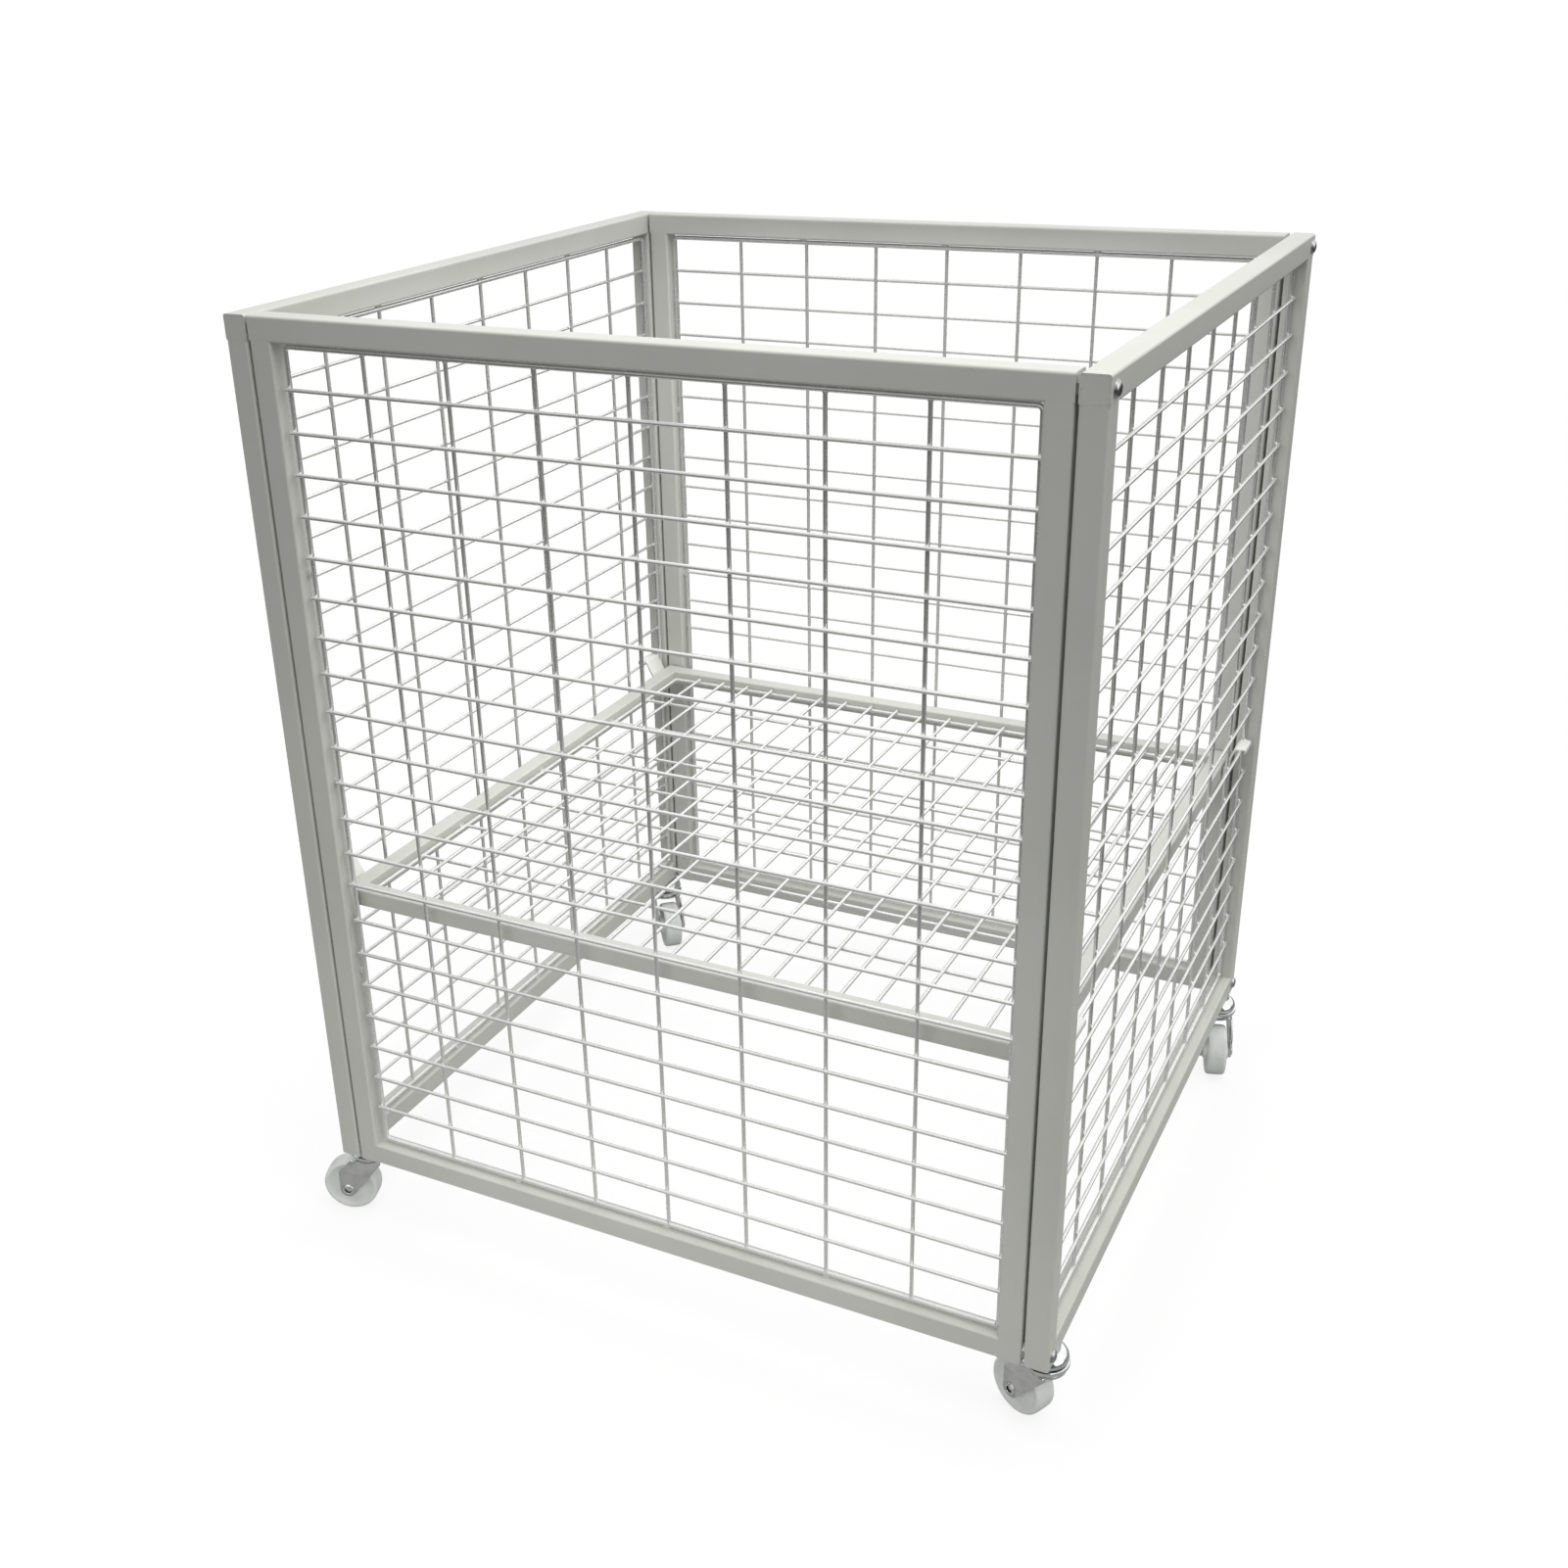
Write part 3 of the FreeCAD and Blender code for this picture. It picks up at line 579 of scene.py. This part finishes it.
def make_meshes():
    """Fills the four panels and the shelf with mesh."""
    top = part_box("left_top_rail")
    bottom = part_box("left_bottom_rail")
    middle = (top[0].z + bottom[1].z) / 2
    height = top[0].z - bottom[1].z
    outside = (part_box("left_top_rail")[0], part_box("right_top_rail")[1])
    levels = even_places(*CROSS_WIRES)
    places = even_places(*UPRIGHT_WIRES)
    front_cross = tuple(zip(FRONT_CROSS, FRONT_CROSS))
    # each panel's heading, the middle of its outer face, its wires and its loop's shift
    panels = {
        "front": (0, (FRAME_X, outside[0].y), front_cross, FRONT_UPRIGHT, (0.0015, 0)),
        "back": (180, (FRAME_X, outside[1].y), EVEN, BACK_UPRIGHT, (0, 0)),
        "left": (-90, (outside[0].x, 0), EVEN, LEFT_UPRIGHT, (0, 0.004)),
        "right": (90, (outside[1].x, 0), RIGHT_CROSS, RIGHT_UPRIGHT, (0, 0.002)),
    }
    for panel, (heading, (x, y), cross, upright, shift) in panels.items():
        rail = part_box(panel + "_bottom_rail")
        width = max(rail[1].x - rail[0].x, rail[1].y - rail[0].y)
        turn = Matrix.Rotation(math.radians(heading), 4, "Z")
        wires = leaning(levels, cross), leaning(places, upright)
        matrix = Matrix.Translation((x, y, middle)) @ turn
        wire_mesh(panel + "_mesh", width, height, TUBE, *wires, matrix, shift)
    low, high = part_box("shelf_left_rail")
    depth = high.y - low.y - 2 * SHELF_TUBE
    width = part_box("shelf_front_rail")[1].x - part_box("shelf_front_rail")[0].x
    # the shelf's cross wires run front to back, and its mesh faces up
    lying = Matrix(((0, 0, -1, FRAME_X), (1, 0, 0, 0), (0, -1, 0, high.z), (0, 0, 0, 1)))
    wires = [leaning(even_places(*row), EVEN) for row in (SHELF_WIRES, SHELF_CROSS_WIRES)]
    wire_mesh("shelf_mesh", depth, width, SHELF_TUBE, *wires, lying)


make_meshes()


# Casters -----------------------------------------------------------------------

# where each caster trails to, in degrees from +X
HEADINGS = {"front_left": 199, "front_right": 154, "back_left": 310, "back_right": 288}

# Half sections as (radius, height) pairs. Heights are from the underside of the rail,
# and for the rivet and the wheel along the axle from the wheel's middle.
CAP = (
    (0.0042, -0.0001),
    (0.0105, -0.0001),
    (0.0136, -0.0009),
    (0.0160, -0.0029),
    (0.0172, -0.0052),
    (0.0175, -0.0068),
    (0.0175, -0.0080),
    (0.0163, -0.0080),
    (0.0160, -0.0060),
    (0.0130, -0.0040),
    (0.0042, -0.0040),
)
RACE_CUP = (
    (0.00408, -0.0104),
    (0.0140, -0.0104),
    (0.0150, -0.0102),
    (0.0176, -0.0100),
    (0.0183, -0.0104),
    (0.0185, -0.0114),
    (0.0184, -0.0130),
    (0.0178, -0.0140),
    (0.0166, -0.0143),
    (0.0146, -0.0144),
    (0.0146, -0.0160),
    (0.00408, -0.0160),
)
FORK_DISC = (
    (0.00408, -0.0160),
    (0.0152, -0.0160),
    (0.0163, -0.0165),
    (0.0165, -0.0173),
    (0.0163, -0.0180),
    (0.00408, -0.0180),
)
STEM = (
    (0.0, 0.012),
    (0.0034, 0.012),
    (0.004, 0.0113),
    (0.004, -0.0183),
    (0.0062, -0.0184),
    (0.0058, -0.0201),
    (0.0, -0.0203),
)
RIVET = (
    (0.0, 0.0110),
    (0.0026, 0.0110),
    (0.0027, 0.0158),
    (0.0031, 0.0164),
    (0.0041, 0.01645),
    (0.0051, 0.0161),
    (0.0055, 0.0155),
    (0.0055, 0.0150),
    (0.0030, 0.0150),
)
RIVET_HOLLOW = 0.0028
WHEEL = (
    (0.00308, 0.0127),
    (0.0052, 0.0127),
    (0.0078, 0.0125),
    (0.0088, 0.0118),
    (0.0090, 0.0092),
    (0.0100, 0.0080),
    (0.0150, 0.0076),
    (0.0196, 0.0078),
    (0.0212, 0.0088),
    (0.0226, 0.0090),
    (0.0238, 0.0087),
    (0.0246, 0.0076),
    (0.0249, 0.0060),
    (0.0250, 0.0030),
)

# the fork's legs: the radius round the axle, the sheet, half the space between them,
# and the line in front of which they fold in, by a tenth
LEG_EYE = 0.0075
LEG_SHEET = 0.002
LEG_SPACE = 0.013
LEG_TOP = -0.0162
LEG_FOLD = 0.0115
FOLD_SLOPE = 0.1
SADDLE_MIDDLE = (0.001, 0, -0.0171)
SADDLE_SIZE = (0.024, 0.030, 0.0018)


def stem_place(corner):
    """Finds where a caster's stem meets the underside of its rail."""
    side = -1 if corner.endswith("left") else 1
    end = -1 if corner.startswith("front") else 1
    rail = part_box(("left" if side < 0 else "right") + "_bottom_rail")
    panel_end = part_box("left_top_rail")[1].y
    return Vector(((rail[0].x + rail[1].x) / 2, end * (panel_end - STEM_INSET), CASTER_HEIGHT))


def mirrored(half):
    """Adds the lower half to a half section that is the same below as above."""
    return list(half) + [(radius, -height) for radius, height in reversed(half)]


def caster_cap(matrix):
    """Makes the pressed cap over the ball race."""
    bm = turned(CAP, closed=True)
    move(bm, matrix)
    return bm


def race_cup(corner, matrix):
    """Makes the ring of the lower race, with a rolled lip."""
    bm = turned(RACE_CUP, closed=True)
    move(bm, matrix)
    name = corner + "_caster_race_cup"
    make_piece(name + "_ring", bm, chrome, corner + "_swivel", [name])


def fork_leg():
    """Cuts one leg of the fork from sheet, upright behind the axle and folded in in front."""
    bm = bmesh.new()
    outline = [
        (0.0155, LEG_TOP),
        (-0.0110, LEG_TOP),
        (-0.0110, -0.0205),
        (TRAIL - LEG_EYE * 0.62, -AXLE_DROP - LEG_EYE * 0.78),
    ]
    verts = [bm.verts.new((x, 0, z)) for x, z in outline]
    for pair in zip(verts, verts[1:]):
        bm.edges.new(pair)
    swept = bmesh.ops.spin(
        bm,
        geom=[verts[-1]],
        cent=(TRAIL, 0, -AXLE_DROP),
        axis=(0, -1, 0),
        angle=math.radians(134),
        steps=14,
    )["geom_last"]
    shoulder = bm.verts.new((TRAIL + LEG_EYE * 0.95, 0, -0.0290))
    bm.edges.new((verts_of(swept)[0], shoulder))
    bm.edges.new((shoulder, verts[0]))
    bmesh.ops.contextual_create(bm, geom=bm.edges[:])
    grown = bmesh.ops.extrude_face_region(bm, geom=bm.faces[:])["geom"]
    bmesh.ops.translate(bm, verts=verts_of(grown), vec=(0, LEG_SHEET, 0))
    bmesh.ops.recalc_face_normals(bm, faces=bm.faces)
    soften(bm, 0.0004, angle=50)
    whole = bm.verts[:] + bm.edges[:] + bm.faces[:]
    bmesh.ops.bisect_plane(bm, geom=whole, plane_co=(LEG_FOLD, 0, 0), plane_no=(1, 0, 0))
    for vert in bm.verts:
        vert.co.y -= max(0, LEG_FOLD - vert.co.x) * FOLD_SLOPE
    return bm


def fork_saddle():
    """Makes the plate that joins the legs, rounded where they are bent down."""
    bm = bmesh.new()
    place = Matrix.Translation(SADDLE_MIDDLE) @ Matrix.Diagonal((*SADDLE_SIZE, 1))
    bmesh.ops.create_cube(bm, size=1, matrix=place)
    folds = [
        edge
        for edge in bm.edges
        if all(abs(vert.co.y) > 0.014 and vert.co.z > -0.017 for vert in edge.verts)
    ]
    bevel(bm, folds, 0.0015, 4)
    return bm


def caster_fork(corner, matrix):
    """Presses the fork: a round saddle under the race, and two legs bent down from it."""
    bm = turned(FORK_DISC, closed=True)
    for side in (-1, 1):
        leg = fork_leg()
        bmesh.ops.translate(leg, verts=leg.verts, vec=(0, LEG_SPACE, 0))
        bmesh.ops.scale(leg, verts=leg.verts, vec=(1, side, 1))
        bmesh.ops.recalc_face_normals(leg, faces=leg.faces)
        merge(bm, leg)
    merge(bm, fork_saddle())
    move(bm, matrix)
    name = corner + "_caster_fork"
    make_piece(name + "_pressing", bm, chrome, corner + "_swivel", [name])


def caster_axle(corner, matrix):
    """Makes the rivet that holds the wheel, with a hollow in each flat head that is painted near
    black as shade.
    """
    bm = turned(mirrored(RIVET), steps=32)
    # the faces inside each hollow take the near-black steel: painted shade
    for face in bm.faces:
        middle = face.calc_center_median()
        face.material_index = int(math.hypot(middle.x, middle.y) < RIVET_HOLLOW)
    move(bm, matrix)
    name = corner + "_caster_axle"
    piece = make_piece(name + "_rivet", bm, chrome, corner + "_swivel", [name])
    piece.data.materials.append(painted_hollow_shade)


def caster_wheel(corner, matrix):
    """Turns the nylon wheel: a crowned tread, dished sides and a hub."""
    bm = turned(mirrored(WHEEL), steps=64, closed=True)
    move(bm, matrix)
    name = corner + "_caster_wheel"
    make_piece(name + "_turned", bm, nylon, corner + "_wheel", [name])


def make_casters():
    """Makes the four casters, each trailing along its own heading."""
    caps = bmesh.new()
    stems = bmesh.new()
    to_axle = Matrix.Translation((TRAIL, 0, -AXLE_DROP)) @ Matrix.Rotation(math.pi / 2, 4, "X")
    for corner, heading in HEADINGS.items():
        turn = Matrix.Rotation(math.radians(heading), 4, "Z")
        matrix = Matrix.Translation(stem_place(corner)) @ turn
        merge(caps, caster_cap(matrix))
        race_cup(corner, matrix)
        caster_fork(corner, matrix)
        caster_axle(corner, matrix @ to_axle)
        caster_wheel(corner, matrix @ to_axle)
        stem = turned(STEM, steps=24)
        move(stem, matrix)
        merge(stems, stem)
    make_piece("caster_caps_pressed", caps, chrome, "bin", ["caster_caps"])
    make_piece("caster_stems_turned", stems, zinc, "bin", ["caster_stems"])


make_casters()


# Bolts and hooks ---------------------------------------------------------------

# the bolt's rings from the shank's end to the socket's bottom: radius, height above
# the tube, and whether the ring has six sides
BOLT_RINGS = (
    (0.0030, -0.0290, False),
    (0.0030, 0.0, False),
    (0.0055, 0.0, False),
    (0.0055, 0.0006, False),
    (0.0050, 0.0017, False),
    (0.0040, 0.0026, False),
    (0.0029, 0.0030, False),
    (0.0021, 0.0030, True),
    (0.0021, 0.0010, True),
)
BOLT_STEPS = 24

HOOK_WIDTH = 0.025
HOOK_STEEL = 0.002
HOOK_BEND = 0.0016
HOOK_LIP = 0.0045
# the share of the way out at which the hook's slope reaches its top
HOOK_SLOPE = 0.45


def bolt_radius(radius, turn, six_sided):
    """Gives how far a ring reaches at an angle."""
    if six_sided:
        return radius * math.cos(math.pi / 6) / math.cos((turn % (math.pi / 3)) - math.pi / 6)
    return radius


def socket_bolt(bm, place, side):
    """Makes a bolt with a domed head and a six-sided socket, its head outwards."""
    turns = [math.tau * index / BOLT_STEPS for index in range(BOLT_STEPS)]
    loops = []
    for radius, height, six_sided in BOLT_RINGS:
        loop = []
        for turn in turns:
            reach = bolt_radius(radius, turn, six_sided)
            across = (place.y + reach * math.cos(turn), place.z + reach * math.sin(turn))
            loop.append(bm.verts.new((place.x + side * height, *across)))
        loops.append(loop)
    faces = [bm.faces.new(loops[0]), bm.faces.new(loops[-1])]
    for near, far in zip(loops, loops[1:]):
        for index in range(BOLT_STEPS):
            after = (index + 1) % BOLT_STEPS
            faces.append(bm.faces.new((near[index], near[after], far[after], far[index])))
    bmesh.ops.recalc_face_normals(bm, faces=faces)


def make_bolts():
    """Sets the eight bolts in the ends of the side panels."""
    bm = bmesh.new()
    for side, panel in ((-1, "left"), (1, "right")):
        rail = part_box(panel + "_top_rail")
        face = rail[0].x if side < 0 else rail[1].x
        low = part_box(panel + "_bottom_rail")[0].z + TUBE / 2
        high = rail[1].z - TUBE / 2
        for y in (rail[0].y + TUBE / 2, rail[1].y - TUBE / 2):
            for z in (low, high):
                socket_bolt(bm, Vector((face, y, z)), side)
    make_piece("panel_bolts_socket", bm, zinc, "bin", ["panel_bolts"])


def bent_strip(points, width, thickness, bend):
    """Bends a strip along a line of (x, z) points, centred on y = 0."""
    bm = bmesh.new()
    near, far = [
        [bm.verts.new((x, y, z)) for x, z in points]
        for y in (-width / 2, width / 2)
    ]
    for index in range(len(points) - 1):
        bm.faces.new((near[index], near[index + 1], far[index + 1], far[index]))
    bevel(bm, [edge for edge in bm.edges if len(edge.link_faces) == 2], bend, 4)
    bmesh.ops.recalc_face_normals(bm, faces=bm.faces)
    bmesh.ops.solidify(bm, geom=bm.faces[:], thickness=thickness)
    bmesh.ops.recalc_face_normals(bm, faces=bm.faces)
    soften(bm, 0.0003, angle=60)
    return bm


def make_hooks():
    """Bends the strips that hang the shelf on a cross wire of each side panel."""
    low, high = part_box("shelf_hooks")
    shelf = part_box("shelf_right_rail")
    wall = shelf[1].x + HOOK_STEEL / 2
    top = high.z - HOOK_STEEL / 2
    ear = high.x - HOOK_STEEL / 2
    places = (low.y + HOOK_WIDTH / 2, high.y - HOOK_WIDTH / 2)
    bm = bmesh.new()
    for side in (-1, 1):
        turn = Matrix.Rotation(0 if side > 0 else math.pi, 4, "Z")
        for place, rise in zip(places, RIGHT_CROSS[0]):
            # each hook reaches up to the wire it hangs on
            wire_top = top + (rise / 1000 if side > 0 else 0)
            points = [
                (wall, shelf[0].z + 0.001),
                (wall, shelf[1].z - 0.004),
                (wall + (ear - wall) * HOOK_SLOPE, wire_top),
                (ear, wire_top),
                (ear, wire_top - HOOK_LIP),
            ]
            line = [(x - FRAME_X, z) for x, z in points]
            strip = bent_strip(line, HOOK_WIDTH, HOOK_STEEL, HOOK_BEND)
            move(strip, Matrix.Translation((FRAME_X, place, 0)) @ turn)
            merge(bm, strip)
    make_piece("shelf_hooks_bent", bm, hook_coat, "bin", ["shelf_hooks"])


make_bolts()
make_hooks()

# the nodes that are shown as they are
for name, material, slot in (
    ("top_rail_end_plates", tube_coat, "grey_powder_coat"),
    ("panel_washers", zinc, "zinc_steel"),
    ("panel_nuts", zinc, "zinc_steel"),
    ("caster_stem_nuts", zinc, "zinc_steel"),
):
    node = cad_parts[name]
    node.data.materials.clear()
    node.data.materials.append(material)


# Studio ------------------------------------------------------------------------

WHITE = (1, 1, 1, 1)

# the floor lies a trace under the wheels, and shows this much of its shadows
FLOOR_REACH = 8
FLOOR_DROP = 0.0002
SHADOW_SHARE = 0.18
# how far from the middle the light pool starts to fade and has faded
POOL = (0.4, 1.1)

# the light comes from above and from behind the bin, and the room in front is dim
LIGHT_FROM = (0.15, 0.5, 1.0)
LIGHT_FADE = (0.25, 0.72)

# the camera's turn, look down and roll, in degrees
CAMERA_ANGLES = (-27.8573, 25.1216, -1.7692)
CAMERA_PLACE = (0.60529, -1.30516, 1.01485)
CAMERA_LENS = 40.90
CAMERA_SENSOR = 36
CAMERA_SHIFT = (0.0413, 0.0161)


def split_by_view(tree, seen, lit, output):
    """Shows the camera one shader, and lets all other light meet another."""
    path = add_node(tree, "ShaderNodeLightPath")
    mix = add_node(tree, "ShaderNodeMixShader")
    tree.links.new(path.outputs["Is Camera Ray"], mix.inputs[0])
    tree.links.new(lit.outputs[0], mix.inputs[1])
    tree.links.new(seen.outputs[0], mix.inputs[2])
    tree.links.new(mix.outputs[0], output.inputs["Surface"])


def make_floor():
    """Lays a plain pale floor, which shows white and bounces less light back than it shows."""
    bm = bmesh.new()
    bmesh.ops.create_grid(bm, x_segments=1, y_segments=1, size=FLOOR_REACH)
    mesh = mesh_of(bm, "studio_floor")
    floor = add_object("studio_floor", mesh)
    floor.location.z = -FLOOR_DROP
    material = bpy.data.materials.new("studio_floor")
    material.use_nodes = True
    tree = material.node_tree
    tree.nodes.clear()
    output = add_node(tree, "ShaderNodeOutputMaterial")
    white = add_node(tree, "ShaderNodeEmission", {"Color": WHITE, "Strength": 1.0})
    shaded = add_node(tree, "ShaderNodeBsdfDiffuse", {"Color": (0.95, 0.95, 0.95, 1)})
    seen = add_node(tree, "ShaderNodeMixShader", {0: SHADOW_SHARE})
    tree.links.new(white.outputs[0], seen.inputs[1])
    tree.links.new(shaded.outputs[0], seen.inputs[2])
    # the light pool round the bin throws more light back than the far floor
    where = add_node(tree, "ShaderNodeTexCoord")
    distance = add_node(tree, "ShaderNodeVectorMath", operation="LENGTH")
    tree.links.new(where.outputs["Object"], distance.inputs[0])
    fade = spread(tree, distance.outputs["Value"], POOL)
    pool = blend_colours(tree, fade, (0.38, 0.38, 0.37), (0.05, 0.05, 0.05))
    bounced = add_node(tree, "ShaderNodeBsdfDiffuse")
    tree.links.new(pool, bounced.inputs["Color"])
    split_by_view(tree, seen, bounced, output)
    mesh.materials.append(material)


def make_world():
    """Surrounds the bin with white where the camera looks, and lights it from above."""
    world = bpy.data.worlds.new("studio")
    bpy.context.scene.world = world
    world.use_nodes = True
    tree = world.node_tree
    tree.nodes.clear()
    output = add_node(tree, "ShaderNodeOutputWorld")
    seen = add_node(tree, "ShaderNodeBackground", {"Color": WHITE, "Strength": 1.0})
    light = add_node(tree, "ShaderNodeBackground", {"Strength": 1.0})
    where = add_node(tree, "ShaderNodeTexCoord")
    facing = add_node(tree, "ShaderNodeVectorMath", {1: LIGHT_FROM}, operation="DOT_PRODUCT")
    tree.links.new(where.outputs["Generated"], facing.inputs[0])
    height = spread(tree, facing.outputs["Value"], LIGHT_FADE)
    glow = blend_colours(tree, height, (0.12, 0.12, 0.12), (1.14, 1.14, 1.13))
    tree.links.new(glow, light.inputs["Color"])
    split_by_view(tree, seen, light, output)


def add_sun(name, towards, softness, strength):
    """Adds an even, soft light that comes from one direction."""
    data = bpy.data.lights.new(name, "SUN")
    data.angle = math.radians(softness)
    data.energy = strength
    lamp = add_object(name, data)
    lamp.rotation_euler = Vector(towards).to_track_quat("Z", "Y").to_euler()


def add_soft_box(name, place, size, power, tilt=0):
    """Hangs a square soft box, which shines straight down or is tilted towards the back."""
    data = bpy.data.lights.new(name, "AREA")
    data.shape = "SQUARE"
    data.size = size
    data.energy = power
    lamp = add_object(name, data)
    lamp.location = place
    lamp.rotation_euler.x = math.radians(tilt)
    lamp.visible_camera = False
    lamp.visible_glossy = False


def make_camera():
    """Stands the camera to the right of the front, looking down at the bin."""
    turn, down, roll = (math.radians(angle) for angle in CAMERA_ANGLES)
    ahead = (math.sin(turn) * math.cos(down), math.cos(turn) * math.cos(down))
    forward = Vector((*ahead, -math.sin(down)))
    right = Vector((math.cos(turn), -math.sin(turn), 0))
    up = right.cross(forward)
    rolled_right = right * math.cos(roll) + up * math.sin(roll)
    rolled_up = up * math.cos(roll) - right * math.sin(roll)
    data = bpy.data.cameras.new("camera")
    data.lens = CAMERA_LENS
    data.sensor_width = CAMERA_SENSOR
    data.shift_x, data.shift_y = CAMERA_SHIFT
    camera = add_object("camera", data)
    axes = Matrix((rolled_right, rolled_up, -forward)).transposed().to_4x4()
    camera.matrix_world = Matrix.Translation(CAMERA_PLACE) @ axes
    bpy.context.scene.camera = camera


make_floor()
make_world()
add_sun("top_light", (0.3, -0.2, 1), 30, 0.2)
add_sun("side_light", (1, -0.1, 0.35), 50, 0.66)
add_sun("front_light", (-0.15, -1, 0.5), 70, 0.54)
add_soft_box("inside_light", (0.15, -0.28, 1.35), 0.7, 2.4)
add_soft_box("shelf_light", (0, 0, 0.8), 0.45, 1.1)
add_soft_box("low_light", (0, -0.85, 0.2), 0.5, 1.1, 85)
make_camera()
bpy.context.scene.view_settings.view_transform = "Standard"
